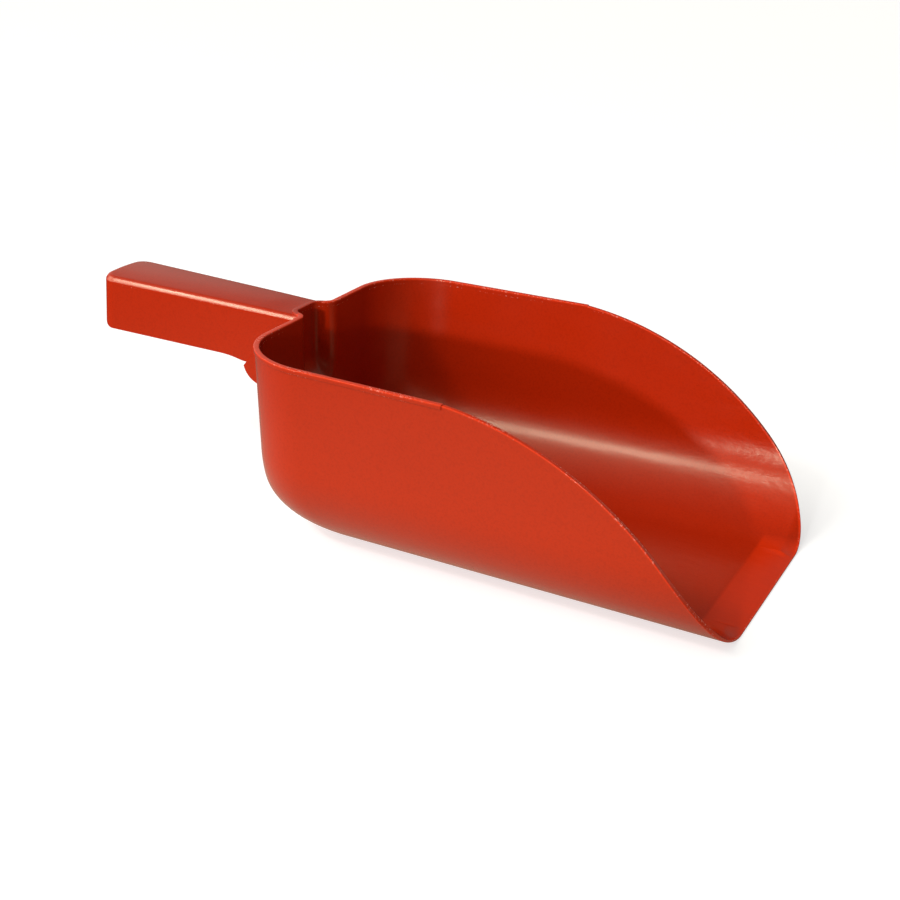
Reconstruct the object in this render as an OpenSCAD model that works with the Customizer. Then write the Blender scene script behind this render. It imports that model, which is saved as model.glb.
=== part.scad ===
// Feed scoop: a one-piece moulded hand scoop, drawn as its moulded regions.
// +X runs from the grip to the scooping lip, +Z is up, sizes in millimetres.
// The origin is the middle of the flat underside, where the scoop rests.

/* [Bowl] */
// Length from the back wall at the rim to the lip
bowl_len = 245; // [225:1:280]
// Width over the side walls at the back, measured at the rim
back_w = 170.6; // [156:0.2:186]
// Width over the side walls at the lip, measured at the rim
front_w = 191; // [180:0.2:206]
// Height of the rim above the rest face
bowl_h = 93.7; // [84:0.1:104]
// Length of the straight rim, from the back wall to where the lip curve starts
rim_len = 112; // [90:1:130]
// Downward angle at which the lip curve leaves the rim
lip_drop = 5.5; // [2:0.5:10]
// Step down from the rim to where the lip curve starts
lip_step = 0.3; // [0:0.1:1]

/* [Moulding] */
// Wall and floor thickness
wall = 2.3; // [1.8:0.1:3]
// Inward lean of each side wall from rim to floor
side_draft = 6.8; // [4:0.1:9]
// Inward lean of the back wall from rim to floor
back_draft = 5.1; // [3:0.1:8]
// Radius of the upright back corners
corner_r = 38.8; // [30:0.2:48]
// Radius between the side walls and the floor
side_floor_r = 45.7; // [34:0.1:50]
// Radius between the back wall and the floor
back_floor_r = 30; // [26:0.1:42]

/* [Rim band] */
// Height of the thicker band along the straight rim
band_h = 2.4; // [1.6:0.2:5]
// How far the band stands out from the wall
band_step = 0.5; // [0.2:0.1:1.2]

/* [Scooping edge] */
// Length of the bevel behind the lip
edge_len = 18.5; // [10:0.5:26]
// Thickness left at the lip
edge_t = 0.8; // [0.5:0.1:1.6]

/* [Grip] */
// Length from the back wall to the closed end
grip_len = 116.8; // [100:0.2:130]
// Width where the grip meets the bowl
grip_root_w = 31.8; // [28:0.2:36]
// Width at the closed end
grip_end_w = 38.4; // [32:0.2:44]
// Height of the side faces
grip_h = 27.6; // [22:0.2:30]
// Drop of the top edges below the rim at the root
grip_drop = 1.1; // [0.8:0.1:4]
// Rise of the grip along its length
grip_rise = 2.1; // [0:0.1:6]
// Height of the crown across the top
grip_crown = 1.1; // [0.4:0.1:2]
// Radius of the long top edges
grip_edge_r = 3; // [1.5:0.5:5]
// Radius of the upright end corners
grip_plan_r = 8; // [4:0.5:12]
// Radius of the lower end corner, seen from the side
grip_heel_r = 6; // [3:0.5:10]

/* [Neck] */
// Depth of the pocket in the back wall behind the rim
pocket_depth = 8.1; // [5:0.1:11]
// Depth of the pocket floor below the rim
pocket_drop = 41.7; // [32:0.1:48]
// Radius of the pocket's floor corner
pocket_floor_r = 16; // [8:1:20]
// Flat width at the back of the pocket
pocket_back_w = 13; // [8:0.5:18]
// Radius of the pocket's two back corners
pocket_corner_r = 5; // [4:0.5:7]
// Radius with which the pocket's mouth opens into the bowl
flare_r = 8; // [6:0.5:10]
// Reach of each gusset along the grip
gusset_len = 30.6; // [24:0.1:40]
// Depth of the gusset's toe below the rim
gusset_drop = 31.3; // [30:0.1:36]
// Radius of the gusset's rounded toe
gusset_r = 12; // [8:1:16]
// How far each gusset stands out from the grip side
gusset_step = 0.8; // [0.4:0.1:1.4]

/* [Part] */
// Sub-part to draw

/* [Hidden] */
red = "#C23A1E";
round_n = 144;
arc_n = 12;
corner_n = 13;
past = 12;
gusset_steep = -76;
gusset_slope = -25;

taper = atan((front_w - back_w) / 2 / bowl_len);
lean = atan(back_draft / bowl_h);
grip_taper = atan((grip_end_w - grip_root_w) / 2 / grip_len);
shell_h = bowl_h - band_h;

// The lip curve is one arc from the end of the rim to the top of the lip
lip_run = bowl_len - rim_len;
lip_fall = bowl_h - lip_step - edge_t;
lip_half = atan(lip_fall / lip_run) - lip_drop;
lip_r = sqrt(lip_run * lip_run + lip_fall * lip_fall) / 2 / sin(lip_half);
lip_cx = rim_len - lip_r * sin(lip_drop);
lip_cz = bowl_h - lip_step - lip_r * cos(lip_drop);

// The underside is flat from the back floor radius to the lip
flat_back = wall_in(0, bowl_h, back_draft, back_floor_r);
origin_x = (flat_back + bowl_len) / 2;
edge_w = 2 * (half_w(bowl_len - edge_len) - wall_in(0, bowl_h, side_draft, side_floor_r));

pocket_x = wall - pocket_depth;

function half_w(x) = (back_w + (front_w - back_w) * x / bowl_len) / 2;

// Distance a drafted wall with a tangent floor radius has moved in at height z
function wall_in(z, h, d, r) =
    let (a = atan(d / h), zt = r * (1 - sin(a)), xt = d * (1 - zt / h))
    z >= zt ? d * (1 - z / h) : xt + r * cos(a) - sqrt(max(0, r * r - (r - z) * (r - z)));

// Near half of the tray's plan outline at height z, moved in by g, open end at x1
function tray_half(z, g, x1) =
    let (
        b = max(g, 0),
        s = g + wall_in(z - b, bowl_h - b, side_draft, side_floor_r - b),
        xb = g + wall_in(z - b, bowl_h - b, back_draft, back_floor_r - b),
        r = min(corner_r - g, half_w(xb + corner_r) - s - 0.5),
        yc = half_w(xb + r) - s - r / cos(taper)
    )
    concat(
        [[x1, s - half_w(x1), z]],
        [for (k = [0:corner_n]) let (a = 270 - taper - k * (90 - taper) / corner_n)
            [xb + r + r * cos(a), -yc + r * sin(a), z]]
    );

// Near half of the pocket's plan grown by g: tangent arcs from the back wall into the recess
function pocket_half(g) =
    let (
        turn = acos(1 - pocket_depth / (pocket_corner_r + flare_r)),
        hb = pocket_back_w / 2,
        ym = hb + (pocket_corner_r + flare_r) * sin(turn)
    )
    concat(
        [for (k = [0:8]) let (a = turn * k / 8, r = flare_r - g)
            [wall - flare_r + r * cos(a), r * sin(a) - ym]],
        [for (k = [8:-1:0]) let (a = turn * k / 8, r = pocket_corner_r + g)
            [pocket_x + pocket_corner_r - r * cos(a), -hb - r * sin(a)]]
    );

// A half outline followed by its mirror image on the far side
function both(half) = concat(half, [for (k = [len(half) - 1:-1:0]) flip(half[k])]);

function flip(p) = len(p) == 3 ? [p.x, -p.y, p.z] : [p.x, -p.y];

// Heights of the tray rings, from the top down through the floor radius
function tray_levels(g, top) =
    concat([top], [for (k = [arc_n:-1:0]) g + (side_floor_r - g) * (1 - cos(90 * k / arc_n))]);

// Cross-section of the grip at distance x behind the back wall, moved in by g
function grip_ring(x, g) =
    let (
        e = max(0, grip_len - g - x),
        z0 = bowl_h - grip_drop + grip_rise * x / grip_len,
        w = (grip_root_w + (grip_end_w - grip_root_w) * x / grip_len) / 2 - g - round_off(e, grip_plan_r - g),
        r = max(0.4, grip_edge_r - g),
        top = z0 - g - round_off(e, grip_edge_r),
        low = z0 - grip_h + (g > 0 ? -past : round_off(e, grip_heel_r)),
        tilt = 2 * atan(grip_crown / (w - r)),
        cr = (w - r) / sin(tilt)
    )
    both(concat(
        [[-x, w, low]],
        [for (k = [0:4]) let (a = k * (90 - tilt) / 4) [-x, w - r + r * cos(a), top - r + r * sin(a)]],
        [for (k = [1:4]) let (a = tilt * (1 - k / 4.5))
            [-x, (cr + r) * sin(a), top - r - cr * cos(tilt) + (cr + r) * cos(a)]]
    ));

// Depth lost to a round-over of radius r at distance e from the end face
function round_off(e, r) = e >= r ? 0 : r - sqrt(r * r - (r - e) * (r - e));

// Solid through a list of rings with equal point counts
module skin(rings) {
    n = len(rings[0]);
    m = len(rings) - 1;
    polyhedron(
        points = [for (r = rings) each r],
        faces = concat(
            [[for (j = [0:n - 1]) j]],
            [[for (j = [n - 1:-1:0]) m * n + j]],
            [for (i = [0:m - 1], j = [0:n - 1]) [i * n + (j + 1) % n, i * n + j, (i + 1) * n + j]],
            [for (i = [0:m - 1], j = [0:n - 1])
                [i * n + (j + 1) % n, (i + 1) * n + j, (i + 1) * n + (j + 1) % n]]
        ),
        convexity = 6
    );
}

// Move the drawing frame so that the origin is the middle of the rest face
module placed() {
    translate([-origin_x, 0, 0])
        children();
}

// Extrude a side view, drawn in X and Z, over a width centred on the middle plane
module side_view(w) {
    rotate([90, 0, 0])
        linear_extrude(w, center = true)
            children();
}

// Lean an upright shape with the back wall
module leaning() {
    translate([0, 0, bowl_h])
        rotate([0, -lean, 0])
            translate([0, 0, -bowl_h])
                children();
}

module tray_outer() {
    skin([for (z = tray_levels(0, bowl_h)) both(tray_half(z, 0, bowl_len))]);
}

module tray_inner() {
    skin([for (z = tray_levels(wall, bowl_h + past)) both(tray_half(z, wall, bowl_len + past))]);
}

// Everything above the lip curve, as a side view
module lip_cut() {
    difference() {
        translate([rim_len, -1])
            square([lip_run + past, bowl_h + past]);
        translate([lip_cx, lip_cz])
            circle(lip_r, $fn = 2 * round_n);
    }
}

// Plan of the neck pocket grown by g, carried into the bowl
module pocket_plan(g) {
    half = pocket_half(g);
    polygon(both(concat([[past, half[0].y]], half)));
}

// Side view of the pocket grown by g, with its rounded floor corner
module pocket_side(g) {
    r = pocket_floor_r + g;
    x0 = pocket_x - g;
    z0 = bowl_h - pocket_drop - g;
    translate([x0, z0 + r])
        square([past - x0, bowl_h + past - z0 - r]);
    intersection() {
        translate([x0, z0])
            square([past - x0, r]);
        union() {
            translate([x0 + r, z0 + r])
                circle(r, $fn = round_n);
            translate([x0 + r, z0])
                square([past, r]);
        }
    }
}

module pocket_body(g) {
    leaning()
        intersection() {
            linear_extrude(bowl_h + past)
                pocket_plan(g);
            side_view(3 * grip_end_w)
                pocket_side(g);
        }
}

// Outline of the rim and the pocket together, standing g outside the bowl's inner face
module band_plan(g, x1) {
    polygon(both(concat([for (p = tray_half(bowl_h, wall - g, x1)) [p.x, p.y]], pocket_half(g))));
}

// Space of the band, carried up past the rim
module band_body() {
    translate([0, 0, shell_h])
        linear_extrude(band_h + past)
            band_plan(wall + band_step, rim_len);
}

module grip_body(g) {
    ends = [for (k = [0:5]) grip_len - g - grip_plan_r * (1 - cos(90 * k / 5))];
    skin(concat([for (x = ends) grip_ring(x, g)], [grip_ring(-past, g)]));
}

// Side view of one gusset: a rounded toe, then a straight lower edge to the back wall
module gusset_side() {
    toe = [-gusset_len, bowl_h - gusset_drop];
    top = bowl_h - grip_drop - 17;
    cx = toe.x - gusset_r * sin(gusset_steep);
    cz = toe.y + gusset_r * cos(gusset_steep);
    low = [cx + gusset_r * sin(gusset_slope), cz - gusset_r * cos(gusset_slope)];
    polygon(concat(
        [for (k = [0:8]) let (a = gusset_steep + (gusset_slope - gusset_steep) * k / 8)
            [cx + gusset_r * sin(a), cz - gusset_r * cos(a)]],
        [[past, low.y + (past - low.x) * tan(gusset_slope)]],
        [[past, top], [-gusset_len / 2, top], [-gusset_len * 0.76, toe.y + 10.7]]
    ));
}

module bowl_shell() {
    color(red)
        placed()
            difference() {
                tray_outer();
                tray_inner();
                side_view(2 * front_w)
                    lip_cut();
                translate([-past, -front_w, shell_h])
                    cube([past + rim_len, 2 * front_w, past]);
                pocket_body(wall);
                translate([bowl_len - edge_len, -edge_w / 2, -1])
                    cube([edge_len + 1, edge_w, wall + 2]);
            }
}

module rim_band() {
    color(red)
        placed()
            translate([0, 0, shell_h])
                linear_extrude(band_h)
                    difference() {
                        band_plan(wall + band_step, rim_len);
                        band_plan(0, bowl_len);
                    }
}

module lip_edge() {
    color(red)
        placed()
            side_view(edge_w)
                polygon([
                    [bowl_len - edge_len, 0],
                    [bowl_len, 0],
                    [bowl_len, edge_t],
                    [bowl_len - edge_len, wall]
                ]);
}

module neck_pocket() {
    color(red)
        placed()
            difference() {
                pocket_body(wall);
                pocket_body(0);
                tray_inner();
                translate([-2 * past, -front_w, shell_h])
                    cube([4 * past, 2 * front_w, 3 * past]);
            }
}

module grip() {
    color(red)
        placed()
            difference() {
                grip_body(0);
                grip_body(wall);
                pocket_body(wall);
                band_body();
                tray_outer();
            }
}

module gusset() {
    difference() {
        translate([0, grip_root_w / 2 + gusset_step, 0])
            rotate([90, 0, -grip_taper])
                linear_extrude(wall)
                    gusset_side();
        grip_body(0);
        pocket_body(wall);
        tray_outer();
    }
}

module gusset_left() {
    color(red)
        placed()
            gusset();
}

module gusset_right() {
    color(red)
        placed()
            mirror([0, 1, 0])
                gusset();
}

bowl_shell();
rim_band();
lip_edge();
neck_pocket();
grip();
gusset_left();
gusset_right();
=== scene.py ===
import math

import bpy
import bmesh
import numpy as np
from mathutils import Matrix, Vector


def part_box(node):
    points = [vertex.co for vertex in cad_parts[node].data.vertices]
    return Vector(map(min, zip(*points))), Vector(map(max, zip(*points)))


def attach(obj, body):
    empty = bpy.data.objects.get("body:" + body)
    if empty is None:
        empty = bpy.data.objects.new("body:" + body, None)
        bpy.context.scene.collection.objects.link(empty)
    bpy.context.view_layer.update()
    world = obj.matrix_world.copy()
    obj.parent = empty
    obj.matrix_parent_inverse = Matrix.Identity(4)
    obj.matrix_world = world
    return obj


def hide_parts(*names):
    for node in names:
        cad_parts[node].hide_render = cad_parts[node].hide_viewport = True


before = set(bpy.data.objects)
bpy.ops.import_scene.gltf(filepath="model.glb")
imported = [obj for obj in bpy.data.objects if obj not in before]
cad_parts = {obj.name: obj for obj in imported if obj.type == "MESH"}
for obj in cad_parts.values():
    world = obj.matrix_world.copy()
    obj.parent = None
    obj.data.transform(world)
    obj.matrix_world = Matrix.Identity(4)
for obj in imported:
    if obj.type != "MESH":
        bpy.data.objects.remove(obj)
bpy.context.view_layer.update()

# ---------------------------------------------------------------- sizes, millimetres
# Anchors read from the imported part; the moulded form in between follows the same rules as the part.
MM = 0.001
rim_lo, rim_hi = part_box("rim_band")
lip_lo, lip_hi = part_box("lip_edge")
grip_lo, grip_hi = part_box("grip")
LEN = 245.0
OX = LEN - lip_hi.x / MM                  # build frame to row frame
H = rim_hi.z / MM                         # rim height
SHELL_H = rim_lo.z / MM                   # underside of the rim band
RIM = rim_hi.x / MM + OX                  # end of the straight rim
EDGE_LEN = (lip_hi.x - lip_lo.x) / MM     # bevel length
GRIP_LEN = -(grip_lo.x / MM + OX)
BACK_W, FRONT_W = 170.6, 191.0
WALL, LIP_T = 2.3, 0.8
SIDE_D, BACK_D = 6.8, 5.1
CORNER_R, SIDE_R, BACK_R = 38.8, 45.7, 30.0
STEP = 0.5
DROP, RISE, CROWN = 1.1, 2.1, 1.1
ROOT_W, END_W, GRIP_H = 31.8, 38.4, 27.6
EDGE_R, PLAN_R, HEEL_R = 3.0, 8.0, 7.2
P_DEPTH, P_BACK, P_CORNER, P_FLARE = 8.1, 13.0, 5.0, 8.0
P_LOW = 51.2
G_LEN, G_DROP, G_R, G_STEP = 30.6, 31.3, 12.0, 0.8

TAPER = math.atan((FRONT_W - BACK_W) / 2 / LEN)
LIP_STEP = 0.3
RUN, FALL = LEN - RIM, H - LIP_STEP - LIP_T
ARC_HALF = math.atan(FALL / RUN) - math.radians(5.5)
LIP_R = math.hypot(RUN, FALL) / 2 / math.sin(ARC_HALF)
LIP_CX = RIM - LIP_R * math.sin(math.radians(5.5))
LIP_CZ = H - LIP_STEP - LIP_R * math.cos(math.radians(5.5))


def half_w(x):
    return (BACK_W + (FRONT_W - BACK_W) * x / LEN) / 2


def wall_in(z, h, d, r):
    """How far a drafted wall with a tangent floor radius has moved in at height z."""
    a = math.atan(d / h)
    zt = r * (1 - math.sin(a))
    if z >= zt:
        return d * (1 - z / h)
    return d * (1 - zt / h) + r * math.cos(a) - math.sqrt(max(0.0, r * r - (r - z) ** 2))


def pocket_in(y, z, e):
    """Recess of the neck pocket in the back wall, e outside the inner face."""
    total = 22.0
    turn = math.acos(1 - P_DEPTH / total)
    up = z - P_LOW
    rf, rc = 6.0 - e, 16.0 + e
    run = total * math.sin(turn)
    if up <= 0:
        return 0.0
    if up < rf * math.sin(turn):
        d = rf - math.sqrt(rf * rf - up * up)
    elif up < run:
        d = P_DEPTH - (rc - math.sqrt(max(0.0, rc * rc - (run - up) ** 2)))
    else:
        d = P_DEPTH
    rf, rc = P_FLARE - e, P_CORNER + e
    total = P_FLARE + P_CORNER
    turn = math.acos(1 - d / total)
    hb = P_BACK / 2
    ym = hb + total * math.sin(turn)
    y = abs(y)
    if y >= ym:
        return 0.0
    if y <= hb:
        return d
    if y < hb + rc * math.sin(turn):
        return d - (rc - math.sqrt(max(0.0, rc * rc - (y - hb) ** 2)))
    return rf - math.sqrt(max(0.0, rf * rf - (ym - y) ** 2))


def bowl_point(kind, p, z, g):
    """Point of the bowl at height z, g in from the outer face.

    kind: side (p = x), rim (p = 0..1, lip arch to corner), corner (p = 0..1), back (p = 1..0).
    """
    b = max(g, 0.0)
    s = g + wall_in(z - b, H - b, SIDE_D, SIDE_R - b)
    if kind == "side":
        return (p, s - half_w(p), z)
    xb = g + wall_in(z - b, H - b, BACK_D, BACK_R - b)
    r = min(CORNER_R - g, half_w(xb + CORNER_R) - s - 0.5)
    yc = half_w(xb + r) - s - r / math.cos(TAPER)
    if kind == "rim":
        x = RIM + (xb + r - r * math.sin(TAPER) - RIM) * p
        return (x, s - half_w(x), z)
    if kind == "corner":
        a = 1.5 * math.pi - TAPER - p * (math.pi / 2 - TAPER)
        return (xb + r + r * math.cos(a), -yc + r * math.sin(a), z)
    y = -yc * p
    return (xb - pocket_in(y, z, WALL - g), y, z)


def arc_top(x, inset):
    r = LIP_R - inset
    return LIP_CZ + math.sqrt(max(0.0, r * r - (x - LIP_CX) ** 2))


# ---------------------------------------------------------------- sheets with a thickness
# A sheet is a welded quad grid; each of its vertices has an outer and an inner point.
class Sheet:
    def __init__(self):
        self.o, self.i, self.cells, self.tags = [], [], [], []
        self.caps, self.edge = {}, []

    def add(self, outer, inner):
        self.o.append(tuple(outer))
        self.i.append(tuple(inner))
        return len(self.o) - 1

    def grid(self, idx, tag):
        for a in range(len(idx) - 1):
            for b in range(len(idx[0]) - 1):
                self.cells.append((idx[a][b], idx[a + 1][b], idx[a + 1][b + 1], idx[a][b + 1]))
                self.tags.append(tag(a, b) if callable(tag) else tag)

    def cap(self, line, depth, power, count, sign=1.0, ends=None):
        """Rounded cap along a free boundary, listed in order; depth and power are lists or numbers."""
        o = np.array([self.o[v] for v in line])
        i = np.array([self.i[v] for v in line])
        mid = (o + i) / 2
        tan = np.gradient(mid, axis=0)
        if ends is not None:
            tan[0], tan[-1] = ends
        for k, v in enumerate(line):
            h = (o[k] - i[k]) / 2
            c = np.cross(tan[k], h)
            n = np.linalg.norm(c)
            c = c / n if n > 1e-12 else np.zeros(3)
            d = depth[k] if hasattr(depth, "__len__") else depth
            q = power[k] if hasattr(power, "__len__") else power
            pts = []
            for m in range(1, count):
                t = math.pi * m / count
                u = math.copysign(abs(math.cos(t)) ** (2 / q), math.cos(t))
                w = math.sin(t) ** (2 / q)
                pts.append(tuple(mid[k] + h * u + sign * c * d * w))
            self.caps[v] = pts

    def mirrored(self):
        """The same sheet with its mirror image in the middle plane welded on."""
        n = len(self.o)
        twin = {}
        for v in range(n):
            o, i = self.o[v], self.i[v]
            if abs(o[1]) < 1e-6 and abs(i[1]) < 1e-6:
                twin[v] = v
            else:
                twin[v] = self.add((o[0], -o[1], o[2]), (i[0], -i[1], i[2]))
                if v in self.caps:
                    self.caps[twin[v]] = [(p[0], -p[1], p[2]) for p in self.caps[v]]
        for c, t in zip(list(self.cells), list(self.tags)):
            self.cells.append(tuple(twin[v] for v in reversed(c)))
            self.tags.append(t)
        return self

    def solid(self, keep):
        """Vertices and faces of the closed body over the cells whose tag is kept."""
        verts, faces, at = [], [], {}

        def put(key, p):
            if key not in at:
                at[key] = len(verts)
                verts.append(p)
            return at[key]

        whole, mine = {}, {}
        for c, t in zip(self.cells, self.tags):
            for a, b in zip(c, c[1:] + c[:1]):
                if a != b:
                    k = (min(a, b), max(a, b))
                    whole[k] = whole.get(k, 0) + 1
                    if t in keep:
                        mine.setdefault(k, []).append((a, b))
        for c, t in zip(self.cells, self.tags):
            if t not in keep:
                continue
            ring = [v for n, v in enumerate(c) if v != c[n - 1]]
            if len(set(ring)) < 3:
                continue
            faces.append([put(("o", v), self.o[v]) for v in ring])
            faces.append([put(("i", v), self.i[v]) for v in reversed(ring)])
        for k, uses in mine.items():
            if len(uses) != 1:
                continue
            a, b = uses[0]
            if whole[k] == 1 and a in self.caps and b in self.caps:
                la = [put(("o", a), self.o[a])]
                lb = [put(("o", b), self.o[b])]
                for m, (pa, pb) in enumerate(zip(self.caps[a], self.caps[b])):
                    la.append(put(("c", a, m), pa))
                    lb.append(put(("c", b, m), pb))
                la.append(put(("i", a), self.i[a]))
                lb.append(put(("i", b), self.i[b]))
            else:
                loop = [put(("o", b), self.o[b]), put(("o", a), self.o[a])]
                loop += [put(("c", a, m), q) for m, q in enumerate(self.caps.get(a, []))]
                loop += [put(("i", a), self.i[a]), put(("i", b), self.i[b])]
                loop += [put(("c", b, m), q) for m, q in reversed(list(enumerate(self.caps.get(b, []))))]
                faces.append(loop)
                continue
            for m in range(len(la) - 1):
                faces.append([lb[m], la[m], la[m + 1], lb[m + 1]])
        return verts, faces


def build(name, verts, faces, crease=32.0):
    """Mesh object in the row frame from millimetre points in the build frame."""
    me = bpy.data.meshes.new(name)
    me.from_pydata([((x - OX) * MM, y * MM, z * MM) for x, y, z in verts], [], faces)
    bm = bmesh.new()
    bm.from_mesh(me)
    bmesh.ops.remove_doubles(bm, verts=bm.verts, dist=2e-7)
    bmesh.ops.dissolve_degenerate(bm, edges=bm.edges, dist=2e-7)
    loose = [v for v in bm.verts if not v.link_faces]
    bmesh.ops.delete(bm, geom=loose, context="VERTS")
    bmesh.ops.recalc_face_normals(bm, faces=bm.faces)
    if bm.calc_volume(signed=True) < 0:
        bmesh.ops.reverse_faces(bm, faces=bm.faces)
    open_edges = sum(1 for e in bm.edges if len(e.link_faces) != 2)
    print(name, "verts", len(bm.verts), "faces", len(bm.faces), "open edges", open_edges,
          "volume ml", round(bm.calc_volume() * 1e6, 2))
    bm.to_mesh(me)
    bm.free()
    me.shade_smooth()
    me.set_sharp_from_angle(angle=math.radians(crease))
    ob = bpy.data.objects.new(name, me)
    bpy.context.scene.collection.objects.link(ob)
    wn = ob.modifiers.new("even_normals", "WEIGHTED_NORMAL")
    wn.mode = "FACE_AREA"
    wn.weight = 50
    wn.keep_sharp = True
    return ob


# ---------------------------------------------------------------- the bowl
N_LIP, N_RIM, N_COR, N_WALL = 100, 20, 24, 50
taus = ([0.48 * k / 24 for k in range(24)] + [0.48 + 0.485 * k / 12 for k in range(12)]
        + [0.965 + 0.035 * k / 5 for k in range(6)])
N_FLOOR = len(taus) - 1
CAP_A = 0.45

# Outline stations from the lip back to the end of the corner
x_front = LEN - LIP_T / 2
arc_r = LIP_R - CAP_A
th0 = math.asin((x_front - LIP_CX) / arc_r)
th1 = math.asin((RIM - LIP_CX) / arc_r)
stations = []
for k in range(N_LIP + 1):
    th = th0 + (th1 - th0) * (k / N_LIP) ** 1.5
    stations.append(("side", LIP_CX + arc_r * math.sin(th), LIP_CZ + arc_r * math.cos(th)))
bevel_at = LEN - EDGE_LEN
near = min(range(len(stations)), key=lambda n: abs(stations[n][1] - bevel_at))
stations[near] = ("side", bevel_at, arc_top(bevel_at, CAP_A))
stations.append(("side", RIM - 0.01, SHELL_H))
for k in range(1, N_RIM):
    stations.append(("rim", k / N_RIM, SHELL_H))
N_SIDE = len(stations)
for k in range(N_COR + 1):
    stations.append(("corner", k / N_COR, SHELL_H))


def levels(z_top, g, kappa):
    """Heights of the wall rows of one skin, from the floor radius up to z_top."""
    b = max(g, 0.0)
    a = math.atan(SIDE_D / (H - b))
    r = SIDE_R - b
    psi = math.pi / 2 - a
    zt = b + r * (1 - math.sin(a))
    lo = SIDE_R * psi
    hi = 51.5

    def z_of(w, gg, top):
        bb = max(gg, 0.0)
        aa = math.atan(SIDE_D / (H - bb))
        rr = SIDE_R - bb
        tt = bb + rr * (1 - math.sin(aa))
        if w <= 1:
            return bb + rr * (1 - math.cos(w * (math.pi / 2 - aa)))
        return tt + (w - 1) * (top - tt)

    zt_o = SIDE_R * (1 - math.sin(math.atan(SIDE_D / H)))
    if z_top > zt_o + 1.0:
        s_end = lo + hi * (z_top - zt_o) / (H - zt_o)
        out = []
        for j in range(N_WALL + 1):
            s = s_end * j / N_WALL
            w = s / lo if s <= lo else 1 + (s - lo) / (s_end - lo)
            out.append((w, z_of(w, g, z_top)))
        return out
    w0, w1 = 0.0, 1.0
    for _ in range(40):
        w = (w0 + w1) / 2
        zo, zi = z_of(w, 0.0, H), z_of(w, WALL, H)
        if zo + kappa * (zi - zo) / 2 > z_top:
            w1 = w
        else:
            w0 = w
    return [(w0 * j / N_WALL, z_of(w0 * j / N_WALL, g, H)) for j in range(N_WALL + 1)]


def smooth(t):
    t = min(1.0, max(0.0, t))
    return t * t * (3 - 2 * t)


bowl = Sheet()
main, row_z = [], None
for kind, p, top in stations:
    front = smooth((p - (LEN - 8.0)) / 8.0) if kind == "side" else 0.0
    thin = 1 - LIP_T / WALL
    kappa = 1 - thin * front
    zo, zi = levels(top, 0.0, kappa), levels(top, WALL, kappa)
    ring = []
    fo = bowl_point(kind, p, 0.0, 0.0)
    fi = bowl_point(kind, p, WALL, WALL)
    slope = max(0.0, (p - bevel_at) / EDGE_LEN) if kind == "side" else 0.0
    for t in taus:
        o = (fo[0], fo[1] * t, 0.0)
        off = abs(fo[1]) * (1 - t)
        k = 1 - thin * max(min(slope, 1.0) * smooth(off / 3.0), front)
        ring.append(bowl.add(o, (o[0] + (fi[0] - fo[0]) * k, o[1] + (fi[1] * t - o[1]) * k, WALL * k)))
    for j in range(1, N_WALL + 1):
        o = bowl_point(kind, p, zo[j][1], 0.0)
        i = bowl_point(kind, p, zi[j][1], WALL)
        ring.append(bowl.add(o, tuple(a + (b - a) * kappa for a, b in zip(o, i))))
    main.append(ring)

back_o = [z for _, z in levels(SHELL_H, 0.0, 1.0)]
back_i = [z for _, z in levels(SHELL_H, WALL, 1.0)]
back = []
for b in range(N_FLOOR + 1):
    t = taus[N_FLOOR - b]
    col = []
    for r in range(N_WALL + 1):
        if b == 0:
            col.append(main[-1][N_FLOOR + r])
        elif r == 0:
            col.append(main[-1][N_FLOOR - b])
        else:
            col.append(bowl.add(bowl_point("back", t, back_o[r], 0.0), bowl_point("back", t, back_i[r], WALL)))
    back.append(col)

pocket_row = min(range(N_WALL + 1), key=lambda r: abs(back_o[r] - 49.8))
pocket_col = next(b for b in range(N_FLOOR + 1) if taus[N_FLOOR - b] <= 0.4801)
bowl.grid(main, lambda a, b: "lip" if stations[a + 1][1] >= bevel_at - 1e-6 and a < near and b < N_FLOOR else "bowl")
bowl.grid(back, lambda a, b: "neck" if a >= pocket_col and b >= pocket_row else "bowl")

# Free edges: across the lip and up the lip curve, rounded; under the rim band, flat
edge_line = list(main[0]) + [ring[-1] for ring in main[1:N_LIP + 1]]
thick = [np.linalg.norm(np.subtract(bowl.o[v], bowl.i[v])) / 2 for v in edge_line]
depth = [min(CAP_A, t) for t in thick]
power = [2 + 2.2 * smooth((t - 0.42) / 0.6) for t in thick]
bowl.cap(edge_line, depth, power, 12, ends=((0, -1, 0), (-math.cos(math.radians(5.5)), 0, math.sin(math.radians(5.5)))))
flat_line = [ring[-1] for ring in main[N_LIP + 1:]] + [col[-1] for col in back[1:]]
bowl.cap(flat_line, 0.0, 2.0, 12)
bowl.mirrored()

pieces = {}
pieces["bowl_shell"] = build("bowl_shell_moulding", *bowl.solid({"bowl"}))
pieces["lip_edge"] = build("lip_edge_moulding", *bowl.solid({"lip"}))
pieces["neck_pocket"] = build("neck_pocket_moulding", *bowl.solid({"neck"}))

# ---------------------------------------------------------------- the rim band
band_st = [("side", RIM, 0.0)] + [("side", RIM - 0.5 * (1 - math.cos(k * math.pi / 8)), math.sin(k * math.pi / 8)) for k in (1, 2, 3, 4)]
band_st += [(k, p, 1.0) for k, p, _ in stations[N_LIP + 2:]]
band_st += [("back", taus[N_FLOOR - b], 1.0) for b in range(1, N_FLOOR + 1)]


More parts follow.
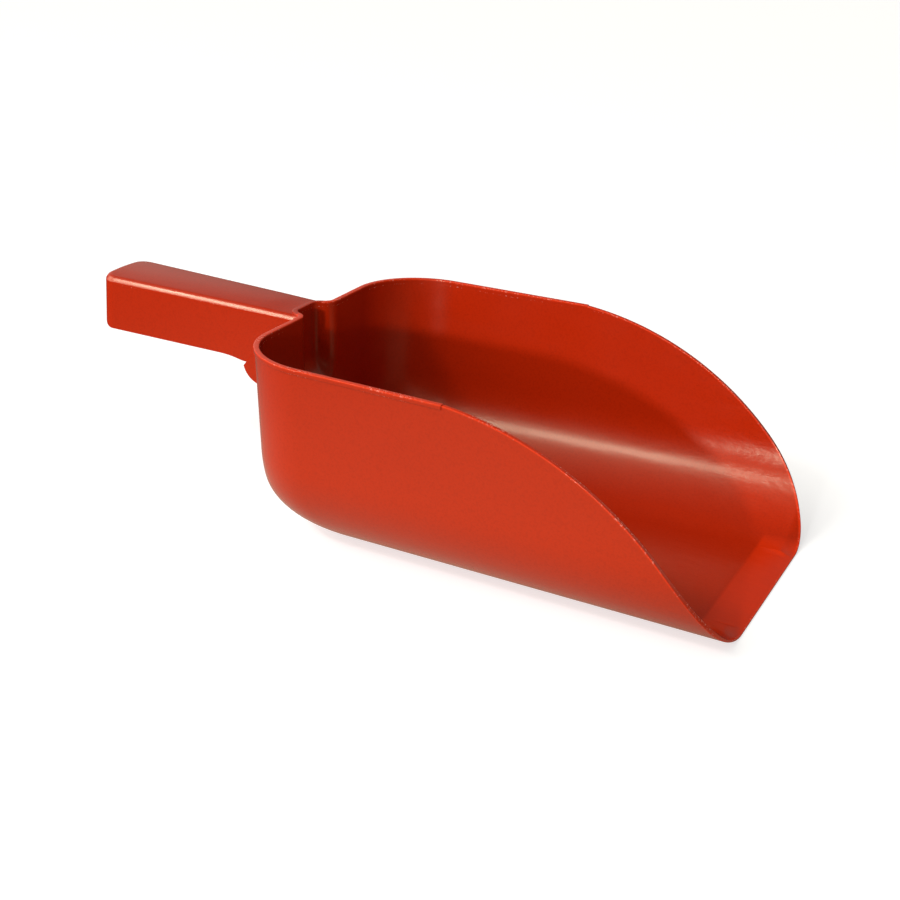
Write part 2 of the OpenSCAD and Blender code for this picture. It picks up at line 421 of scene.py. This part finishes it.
def band_ring(kind, p, full):
    out = -STEP * full
    mid, half = (WALL + out) / 2, (WALL - out) / 2
    top = H - CAP_A
    pts = [(SHELL_H, WALL), (SHELL_H + 0.9, WALL), (top, WALL)]
    for m in range(1, 12):
        t = math.pi * (1 - m / 12)
        u = math.copysign(abs(math.cos(t)) ** 0.5, math.cos(t))
        pts.append((top + CAP_A * math.sin(t) ** 0.5, mid - half * u))
    r = 0.3 * full + 1e-3
    pts += [(top, out), (SHELL_H + 0.9, out), (SHELL_H + r, out)]
    for m in (1, 2, 3):
        a = math.pi / 2 * m / 4
        pts.append((SHELL_H + r * (1 - math.sin(a)), out + r * (1 - math.cos(a))))
    pts += [(SHELL_H, out + r), (SHELL_H, 0.5), (SHELL_H, 1.5)]
    return [bowl_point(kind, p, z, g) for z, g in pts]


rings = [band_ring(*s) for s in band_st]
rings += [[(x, -y, z) for x, y, z in r] for r in reversed(rings[:-1])]
n = len(rings[0])
verts = [p for r in rings for p in r]
faces = [[a * n + (j + 1) % n, a * n + j, (a + 1) * n + j, (a + 1) * n + (j + 1) % n]
         for a in range(len(rings) - 1) for j in range(n)]
faces += [list(range(n)), [(len(rings) - 1) * n + j for j in reversed(range(n))]]
pieces["rim_band"] = build("rim_band_moulding", verts, faces)


# ---------------------------------------------------------------- the grip
# u runs back from the bowl, v out from the middle plane
def grip_w(u):
    return (ROOT_W + (END_W - ROOT_W) * u / GRIP_LEN) / 2


M_G = (END_W - ROOT_W) / 2 / GRIP_LEN
FLARE = 5.0


def back_face(z):
    return -wall_in(z, H, BACK_D, BACK_R)


def inside_wall(v, z):
    """u of the middle of the back wall's thickness, neck pocket included."""
    return back_face(z) - WALL / 2 + pocket_in(v, z, WALL / 2)


def grip_top(u, v):
    z0 = H - DROP + RISE * u / GRIP_LEN
    fade = 1 - 0.45 * smooth((26 - u) / 18)
    return z0 + CROWN * fade * (1 - min(1.0, abs(v) / grip_w(u)) ** 2)


def grip_low(u):
    z0 = H - DROP + RISE * u / GRIP_LEN - GRIP_H
    e = GRIP_LEN - u
    if e < HEEL_R:
        z0 += HEEL_R - math.sqrt(max(0.0, HEEL_R ** 2 - (HEEL_R - e) ** 2))
    if u < 45:
        z0 -= 1.7 * min(1.0, (45 - u) / 13) ** 2
    return z0


g_taus = [k / 22 for k in range(23)]
NG, NF, NS = 22, 8, 16
F_ANG = (80, 70, 60, 51, 18, 12, 6, 0)      # the long edges carry a narrow flat
g_st = [("embed", -0.7)]
g_st += [("flare", math.pi / 2 * (1 - k / 8)) for k in range(8)]
side_end = GRIP_LEN - PLAN_R
u0 = FLARE + 0.3
for k in range(44):
    g_st.append(("side", u0 + (side_end - u0) * k / 44))
for k in range(15):
    g_st.append(("corner", (math.pi / 2 + math.atan(M_G)) * (1 - k / 14)))
uc = GRIP_LEN - PLAN_R
vc = grip_w(uc) - PLAN_R * math.sqrt(1 + M_G * M_G)


def grip_plan(kind, p, d, z):
    """Plan point (u, v) of the grip's outline moved in by d."""
    w0 = grip_w(0)
    if kind == "side":
        return p, grip_w(p) - d
    if kind == "corner":
        return uc + (PLAN_R - d) * math.cos(p), vc + (PLAN_R - d) * math.sin(p)
    if kind == "end":
        return GRIP_LEN - d, vc * p
    u_w = back_face(z)
    if kind == "embed":
        return u_w + p, w0 + FLARE - d
    return u_w + FLARE * (1 - math.sin(p)), w0 - d + FLARE * (1 - math.cos(p))


def grip_point(kind, p, row, depth):
    """row: ('top', tau), ('fil', angle) or ('side', 0..1); depth 0 outer, WALL inner."""
    r = EDGE_R if depth == 0 else 1.0
    name, q = row
    if name == "top":
        u, v = grip_plan(kind, p, depth + r, H)
        v *= q
        z = grip_top(u, v) - depth
    elif name == "fil":
        u, v = grip_plan(kind, p, depth + r * (1 - math.cos(q)), H)
        z = grip_top(u, v) - depth - r * (1 - math.sin(q))
    else:
        u, v = grip_plan(kind, p, depth, H)
        hi = grip_top(u, v) - depth - r
        uo = grip_plan(kind, p, 0.0, H)[0]
        lo = grip_low(max(0.0, uo)) + 0.4
        z = hi + (lo - hi) * q
        u, v = grip_plan(kind, p, depth, z)
    u = max(u, inside_wall(v, z))
    return (-u, -v, z)


g_rows = [("top", t) for t in g_taus] + [("fil", math.radians(a)) for a in F_ANG]
g_rows += [("side", k / NS) for k in range(1, NS + 1)]
grip = Sheet()
g_main = [[grip.add(grip_point(k, p, row, 0.0), grip_point(k, p, row, WALL)) for row in g_rows] for k, p in g_st]
g_end = []
for b in range(NG + 1):
    t = g_taus[NG - b]
    col = []
    for r in range(NF + NS + 1):
        if b == 0:
            col.append(g_main[-1][NG + r])
        elif r == 0:
            col.append(g_main[-1][NG - b])
        else:
            row = g_rows[NG + r]
            col.append(grip.add(grip_point("end", t, row, 0.0), grip_point("end", t, row, WALL)))
    g_end.append(col)
grip.grid(g_main, "grip")
grip.grid(g_end, "grip")
low_line = [ring[-1] for ring in g_main] + [col[-1] for col in g_end[1:]]
grip.cap(low_line, 0.4, 3.6, 10, sign=1.0, ends=((-1, 0, 0), (0, 1, 0)))
grip.mirrored()
pieces["grip"] = build("grip_moulding", *grip.solid({"grip"}))


# ---------------------------------------------------------------- the two gussets
def gusset_lines(u):
    toe_z = H - G_DROP
    st, sl = math.radians(-76), math.radians(-25)
    cx, cz = -G_LEN - G_R * math.sin(st), toe_z + G_R * math.cos(st)
    lx, lz = cx + G_R * math.sin(sl), cz - G_R * math.cos(sl)
    x = -u
    lo = lz + (x - lx) * math.tan(sl) if x > lx else cz - math.sqrt(max(0.0, G_R ** 2 - (x - cx) ** 2))
    top = H - DROP - 17
    u1, u2 = G_LEN / 2, G_LEN * 0.76
    if u <= u1:
        hi = top
    elif u <= u2:
        hi = top + (toe_z + 10.7 - top) * (u - u1) / (u2 - u1)
    else:
        hi = toe_z + 10.7 * (G_LEN - u) / (G_LEN - u2)
    return lo, hi


gus = Sheet()
us = [-1.2 + 31.3 * k / 44 for k in range(45)] + [30.35, 30.5]
g_idx = []
for u in us:
    lo, hi = gusset_lines(max(u, 0.0))
    lo, hi = min(lo + 0.4, (lo + hi) / 2 - 0.02), max(hi - 0.4, (lo + hi) / 2 + 0.02)
    col = []
    for k in range(17):
        z = lo + (hi - lo) * k / 16
        uu = max(u, back_face(z) - 1.2) if u > 0 else back_face(z) + u
        near_wall = max(0.0, 1 - max(0.0, uu - back_face(z)) / 2.6)
        fl = 2.6 * (1 - math.sqrt(max(0.0, 1 - near_wall ** 2)))
        v = grip_w(max(u, 0)) + G_STEP + fl
        col.append(gus.add((-uu, -v, z), (-uu, -v + WALL, z)))
    g_idx.append(col)
gus.grid(g_idx, "g")
line = [col[0] for col in g_idx] + g_idx[-1][1:] + [col[-1] for col in reversed(g_idx[:-1])]
gus.cap(line, 0.4, 3.2, 8, sign=-1.0)
vs, fs = gus.solid({"g"})
pieces["gusset_right"] = build("gusset_right_moulding", vs, fs)
pieces["gusset_left"] = build("gusset_left_moulding", [(x, -y, z) for x, y, z in vs], [list(reversed(f)) for f in fs])

# ---------------------------------------------------------------- material
X_EDGE = (LEN - OX - EDGE_LEN) * MM
# how much lighter the upward-facing bevel is painted: painted light
BEVEL_PAINTED_LIGHT = 0.55


def node_of(nt, kind, **values):
    n = nt.nodes.new(kind)
    for k, v in values.items():
        if hasattr(n, k):
            setattr(n, k, v)
        else:
            n.inputs[k.replace("_", " ")].default_value = v
    return n


def math_node(nt, op, a, b=None, clamp=False):
    n = nt.nodes.new("ShaderNodeMath")
    n.operation = op
    n.use_clamp = clamp
    for k, v in enumerate((a, b)):
        if v is None:
            continue
        if hasattr(v, "default_value"):
            nt.links.new(v, n.inputs[k])
        else:
            n.inputs[k].default_value = v
    return n.outputs[0]


def moulded_plastic(name):
    m = bpy.data.materials.new(name)
    m.use_nodes = True
    nt = m.node_tree
    ln = nt.links.new
    bsdf = nt.nodes["Principled BSDF"]
    co = node_of(nt, "ShaderNodeTexCoord").outputs["Object"]

    def noise(scale, detail=3.0, rough=0.55, stretch=None):
        src = co
        if stretch:
            mp = node_of(nt, "ShaderNodeMapping")
            mp.inputs["Scale"].default_value = stretch
            ln(co, mp.inputs["Vector"])
            src = mp.outputs[0]
        n = node_of(nt, "ShaderNodeTexNoise")
        n.inputs["Scale"].default_value = scale
        n.inputs["Detail"].default_value = detail
        n.inputs["Roughness"].default_value = rough
        ln(src, n.inputs["Vector"])
        return n.outputs["Fac"]

    def ramp(src, stops):
        r = node_of(nt, "ShaderNodeValToRGB")
        el = r.color_ramp.elements
        while len(el) < len(stops):
            el.new(0.5)
        for e, (p, c) in zip(el, stops):
            e.position = p
            e.color = (*c, 1) if hasattr(c, "__len__") else (c, c, c, 1)
        ln(src, r.inputs["Fac"])
        return r.outputs["Color"]

    def mix(fac, a, b):
        n = node_of(nt, "ShaderNodeMix")
        n.data_type = "RGBA"
        for sock, v in ((n.inputs[0], fac), (n.inputs[6], a), (n.inputs[7], b)):
            if hasattr(v, "default_value"):
                ln(v, sock)
            elif hasattr(v, "__len__"):
                sock.default_value = (*v, 1)
            else:
                sock.default_value = v
        return n.outputs[2]

    # Colour: pigment clouds from the melt flow, faint and long along the bowl
    clouds = noise(9.0, 3.0, 0.5, (0.5, 1.0, 1.0))
    base = ramp(clouds, [(0.3, (0.425, 0.0160, 0.0009)), (0.7, (0.457, 0.0188, 0.0012))])
    speck = ramp(noise(900.0, 2.0), [(0.30, 0.88), (0.55, 1.0)])
    tint = node_of(nt, "ShaderNodeMix")
    tint.data_type = "RGBA"
    tint.blend_type = "MULTIPLY"
    tint.inputs[0].default_value = 1.0
    ln(base, tint.inputs[6])
    ln(speck, tint.inputs[7])

    # The edges of rim and lip, found by place: painted lighter as a painted highlight, with small pale nicks that are
    # partly wear and partly painted glints
    geo = node_of(nt, "ShaderNodeNewGeometry")
    pos = node_of(nt, "ShaderNodeSeparateXYZ")
    ln(co, pos.inputs[0])
    px, pz = pos.outputs["X"], pos.outputs["Z"]
    out_x = math_node(nt, "POWER", math_node(nt, "SUBTRACT", px, (LIP_CX - OX) * MM), 2.0)
    out_z = math_node(nt, "POWER", math_node(nt, "SUBTRACT", pz, LIP_CZ * MM), 2.0)
    out = math_node(nt, "SQRT", math_node(nt, "ADD", out_x, out_z))
    lip = math_node(nt, "MULTIPLY", math_node(nt, "SUBTRACT", out, (LIP_R - 1.0) * MM), 1 / (0.6 * MM), True)
    lip = math_node(nt, "MULTIPLY", lip, math_node(nt, "GREATER_THAN", px, (RIM - OX) * MM))
    rim = math_node(nt, "MULTIPLY", math_node(nt, "SUBTRACT", pz, (H - 1.0) * MM), 1 / (0.6 * MM), True)
    rim = math_node(nt, "MULTIPLY", rim, math_node(nt, "GREATER_THAN", px, -(OX + 3.0) * MM))
    edge_sheen_and_wear = math_node(nt, "ADD", lip, rim, True)
    under = math_node(nt, "ABSOLUTE", math_node(nt, "SUBTRACT", pz, SHELL_H * MM))
    under = math_node(nt, "SUBTRACT", 1.0, math_node(nt, "MULTIPLY", under, 1 / (0.4 * MM)), True)
    nicks_and_glints = ramp(noise(800.0, 3.0, 0.6), [(0.56, 0.0), (0.64, 1.0)])
    where = ramp(noise(45.0, 3.0, 0.6), [(0.44, 0.0), (0.60, 1.0)])
    wear_and_glint = math_node(nt, "MULTIPLY", math_node(nt, "ADD", edge_sheen_and_wear, under, True), math_node(nt, "MULTIPLY", nicks_and_glints, where))
    # painted highlight: the rim top and lip caps are mixed toward a lighter red, standing in for the light they catch
    colour = mix(math_node(nt, "MULTIPLY", edge_sheen_and_wear, 0.62), tint.outputs[2], (0.82, 0.040, 0.005))
    # pale specks: partly wear, partly painted glints along the rim, the lip and under the band
    colour = mix(math_node(nt, "MULTIPLY", wear_and_glint, 0.42), colour, (0.90, 0.50, 0.40))

    # Painted light: the tapered bevel at the mouth, where it faces up near the floor, is painted a lighter red in place
    # of the light that falls on it
    edge = ramp(math_node(nt, "MULTIPLY", math_node(nt, "SUBTRACT", px, X_EDGE - 0.001), 500.0),
                [(0.1, 0.0), (0.9, 1.0)])
    low = ramp(math_node(nt, "MULTIPLY", pz, 100.0), [(0.18, 1.0), (0.42, 0.0)])
    nz = node_of(nt, "ShaderNodeSeparateXYZ")
    ln(geo.outputs["Normal"], nz.inputs[0])
    upward = ramp(nz.outputs["Z"], [(0.75, 0.0), (0.97, 1.0)])
    thin = math_node(nt, "MULTIPLY", math_node(nt, "MULTIPLY", edge, low), upward, True)
    colour = mix(math_node(nt, "MULTIPLY", thin, BEVEL_PAINTED_LIGHT), colour, (0.86, 0.036, 0.002))
    ln(colour, bsdf.inputs["Base Color"])

    # Finish: glossy with slow and fine roughness changes, and a few rubbed streaks along X
    slow = ramp(noise(22.0, 3.0), [(0.3, 0.20), (0.7, 0.25)])
    streaks = ramp(noise(60.0, 5.0, 0.7, (0.12, 1.0, 1.0)), [(0.56, 0.0), (0.74, 0.04)])
    rough = math_node(nt, "ADD", slow, streaks)
    rough = math_node(nt, "ADD", rough, math_node(nt, "MULTIPLY", wear_and_glint, 0.18))
    ln(rough, bsdf.inputs["Roughness"])
    bsdf.inputs["IOR"].default_value = 1.50
    bsdf.inputs["Specular Tint"].default_value = (1.0, 0.94, 0.68, 1)

    # Relief: fine moulding grain over a shallow waviness, stronger near the mouth
    wave = noise(120.0, 3.0, 0.55, (0.55, 1.0, 1.0))
    grow = ramp(math_node(nt, "MULTIPLY", px, 10.0), [(0.2, 0.35), (0.75, 1.0)])
    grain = noise(1500.0, 3.0, 0.6)
    b1 = node_of(nt, "ShaderNodeBump")
    ln(math_node(nt, "MULTIPLY", grow, 0.42), b1.inputs["Strength"])
    b1.inputs["Distance"].default_value = 0.0006
    ln(wave, b1.inputs["Height"])
    b2 = node_of(nt, "ShaderNodeBump")
    b2.inputs["Strength"].default_value = 0.30
    b2.inputs["Distance"].default_value = 0.00005
    ln(grain, b2.inputs["Height"])
    ln(b1.outputs[0], b2.inputs["Normal"])
    ln(b2.outputs[0], bsdf.inputs["Normal"])
    return m


mat = moulded_plastic("moulded_red_plastic")

for node, ob in pieces.items():
    ob.data.materials.append(mat)
    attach(ob, "root")
    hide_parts(node)

# ---------------------------------------------------------------- stage, light, camera
FLOOR_GLOW = 0.42           # the floor's own light on the part, close by
FLOOR_REACH = 0.30          # and how far out it holds, m
FLOOR_SEEN = 0.66           # the floor's light as the camera sees it
SKY_BASE = 0.075
# soft light of the room: azimuth, elevation, sharpness, strength
LOBES = [(200.0, 32.0, 11.0, 5.3), (-62.0, 11.0, 25.0, 1.2), (134.0, 14.0, 30.0, 0.75),
         (-95.0, 44.0, 22.0, 1.2), (60.0, 12.0, 8.0, 0.35)]
# softboxes: name, azimuth, elevation, distance, width, height, irradiance
LIGHTS = [
    ("key", -86.4, 10.5, 2.6, 0.11, 0.11, 1.15),
    ("side_box", -106, 42, 1.6, 0.46, 0.25, 0.48),
    ("back_box", -131, 40, 2.2, 0.56, 0.24, 0.75),
]
me = bpy.data.meshes.new("floor")
me.from_pydata([(-6, -6, 0), (6, -6, 0), (6, 6, 0), (-6, 6, 0)], [], [[0, 1, 2, 3]])
floor = bpy.data.objects.new("floor", me)
bpy.context.scene.collection.objects.link(floor)
fm = bpy.data.materials.new("pale_floor")
fm.use_nodes = True
fb = fm.node_tree.nodes["Principled BSDF"]
ft = fm.node_tree
fb.inputs["Roughness"].default_value = 0.9
fb.inputs["Specular IOR Level"].default_value = 0.1
seen = node_of(ft, "ShaderNodeLightPath").outputs["Is Camera Ray"]
unseen = math_node(ft, "SUBTRACT", 1.0, seen)
out = node_of(ft, "ShaderNodeVectorMath")
out.operation = "LENGTH"
shift = node_of(ft, "ShaderNodeVectorMath")
ft.links.new(node_of(ft, "ShaderNodeTexCoord").outputs["Object"], shift.inputs[0])
shift.inputs[1].default_value = (0.06, 0.15, 0.0)
ft.links.new(shift.outputs[0], out.inputs[0])
fall = math_node(ft, "POWER", math_node(ft, "DIVIDE", out.outputs["Value"], FLOOR_REACH), 2.0)
fall = math_node(ft, "MULTIPLY", math_node(ft, "EXPONENT", math_node(ft, "MULTIPLY", fall, -1.0)), unseen)
glow = math_node(ft, "ADD", math_node(ft, "MULTIPLY", seen, FLOOR_SEEN), math_node(ft, "MULTIPLY", fall, FLOOR_GLOW))
ft.links.new(glow, fb.inputs["Emission Strength"])
cast = node_of(ft, "ShaderNodeMix")
cast.data_type = "RGBA"
ft.links.new(seen, cast.inputs[0])
cast.inputs[6].default_value = (1.0, 0.78, 0.52, 1)
cast.inputs[7].default_value = (1, 1, 1, 1)
ft.links.new(cast.outputs[2], fb.inputs["Emission Color"])
shade = math_node(ft, "ADD", math_node(ft, "MULTIPLY", seen, 0.5), math_node(ft, "MULTIPLY", fall, 0.3))
tone = node_of(ft, "ShaderNodeCombineColor")
for k in range(3):
    ft.links.new(shade, tone.inputs[k])
ft.links.new(tone.outputs[0], fb.inputs["Base Color"])
me.materials.append(fm)

scene = bpy.context.scene
world = bpy.data.worlds.new("studio")
scene.world = world
world.use_nodes = True
wt = world.node_tree
wb = wt.nodes["Background"]
gen = node_of(wt, "ShaderNodeTexCoord").outputs["Generated"]


def direction(azimuth, elevation):
    a, e = math.radians(azimuth), math.radians(elevation)
    return Vector((math.cos(e) * math.cos(a), math.cos(e) * math.sin(a), math.sin(e)))


sky = SKY_BASE
for azimuth, elevation, sharp, strength in LOBES:
    dot = node_of(wt, "ShaderNodeVectorMath")
    dot.operation = "DOT_PRODUCT"
    wt.links.new(gen, dot.inputs[0])
    dot.inputs[1].default_value = direction(azimuth, elevation)
    lobe = math_node(wt, "SUBTRACT", dot.outputs["Value"], 1.0)
    lobe = math_node(wt, "EXPONENT", math_node(wt, "MULTIPLY", lobe, sharp))
    sky = math_node(wt, "ADD", math_node(wt, "MULTIPLY", lobe, strength), sky)
wt.links.new(sky, wb.inputs["Strength"])
wb.inputs["Color"].default_value = (1.0, 0.95, 0.84, 1)
pale = node_of(wt, "ShaderNodeBackground")
pale.inputs["Color"].default_value = (1, 1, 1, 1)
choose = node_of(wt, "ShaderNodeMixShader")
wt.links.new(node_of(wt, "ShaderNodeLightPath").outputs["Is Camera Ray"], choose.inputs[0])
wt.links.new(wb.outputs[0], choose.inputs[1])
wt.links.new(pale.outputs[0], choose.inputs[2])
wt.links.new(choose.outputs[0], wt.nodes["World Output"].inputs["Surface"])


def softbox(name, azimuth, elevation, dist, size, size_y, irradiance, aim=(-0.02, 0.0, 0.05)):
    """Round area light seen from aim in the given direction, with the irradiance it gives there."""
    li = bpy.data.lights.new(name, "AREA")
    li.energy = irradiance * math.pi * dist * dist
    li.shape = "ELLIPSE"
    li.size = size
    li.size_y = size_y
    ob = bpy.data.objects.new(name, li)
    scene.collection.objects.link(ob)
    where = Vector(aim) + direction(azimuth, elevation) * dist
    ob.location = where
    ob.rotation_euler = (Vector(aim) - where).to_track_quat("-Z", "Y").to_euler()
    return ob


for args in LIGHTS:
    softbox(*args)

scene.view_settings.view_transform = "Standard"
cam = bpy.data.cameras.new("camera")
cam.lens = 66.88
cam.sensor_width = 36.0
cam_ob = bpy.data.objects.new("camera", cam)
scene.collection.objects.link(cam_ob)
az, roll = math.radians(23.62), math.radians(3.79)
back_v = Vector((0.37200, -0.85052, 0.37179)).normalized()
right = Vector((math.cos(az), math.sin(az), 0))
up = back_v.cross(right)
r2 = right * math.cos(roll) + up * math.sin(roll)
u2 = up * math.cos(roll) - right * math.sin(roll)
m = Matrix((r2, u2, back_v)).transposed().to_4x4()
m.translation = Vector((0.24678, -0.70411, 0.34260))
cam_ob.matrix_world = m
scene.camera = cam_ob

bpy.context.view_layer.update()
